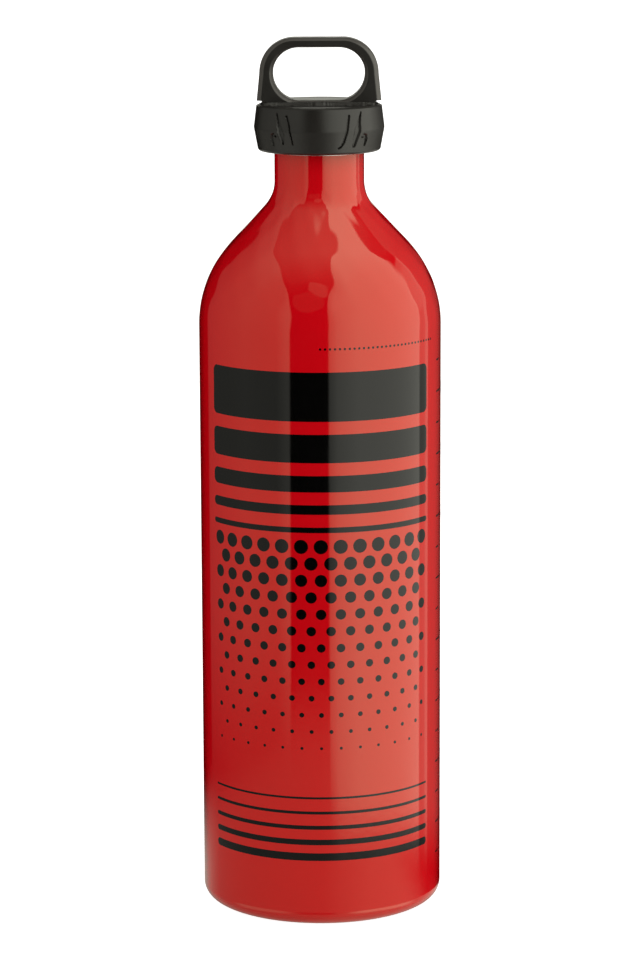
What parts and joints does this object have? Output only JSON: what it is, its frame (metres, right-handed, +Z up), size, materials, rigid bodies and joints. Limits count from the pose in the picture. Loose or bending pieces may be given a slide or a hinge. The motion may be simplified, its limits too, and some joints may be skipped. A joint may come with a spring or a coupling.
{
  "type": "camping fuel bottle",
  "caption": "Slim one-piece metal fuel bottle with a domed base, rounded shoulder and threaded neck, closed by a push-and-turn plastic screw cap with a carrying loop.",
  "frame": {"origin": "centre of the standing ring, on the surface that the bottle stands on", "axes": "+Z up along the bottle's axis, towards the cap; the carrying loop lies in the XZ plane, and the front faces -Y"},
  "size_m": [0.08, 0.08, 0.2893],
  "materials": {
    "red_lacquer": "gloss red lacquer over aluminium, bare metal at the lip and inside",
    "seal_rubber": "matt black",
    "plug_plastic": "satin black moulded plastic",
    "spring_steel": "bright drawn wire",
    "cap_plastic": "satin black moulded plastic with a fine grain"
  },
  "bodies": {
    "bottle": {"bottle_shell": "red_lacquer"},
    "riser": {"seal_ring": "seal_rubber"},
    "plug": {"inner_plug": "plug_plastic"},
    "presser": {"cap_spring": "spring_steel"},
    "cap": {"grip_collar": "cap_plastic", "cap_handle": "cap_plastic"}
  },
  "joints": [
    {"name": "thread_rise", "type": "slide", "parent": "bottle", "child": "riser", "axis": [0, 0, 1], "range_m": [0, 0.015]},
    {"name": "unscrew", "type": "hinge", "parent": "riser", "child": "plug", "pos_m": [0, 0, 0.25], "axis": [0, 0, 1], "range_deg": [0, 1800]},
    {"name": "push_down", "type": "slide", "parent": "plug", "child": "presser", "axis": [0, 0, 1], "range_m": [-0.002, 0], "stiffness_N_per_m": 4000, "springref_m": 0.002, "deforming": ["cap_spring"]},
    {"name": "free_spin", "type": "hinge", "parent": "presser", "child": "cap", "pos_m": [0, 0, 0.26], "axis": [0, 0, 1], "continuous": true}
  ],
  "couplings": [
    {"joint": "thread_rise", "follows": "unscrew", "m_per_rad": 0.00047746}
  ]
}
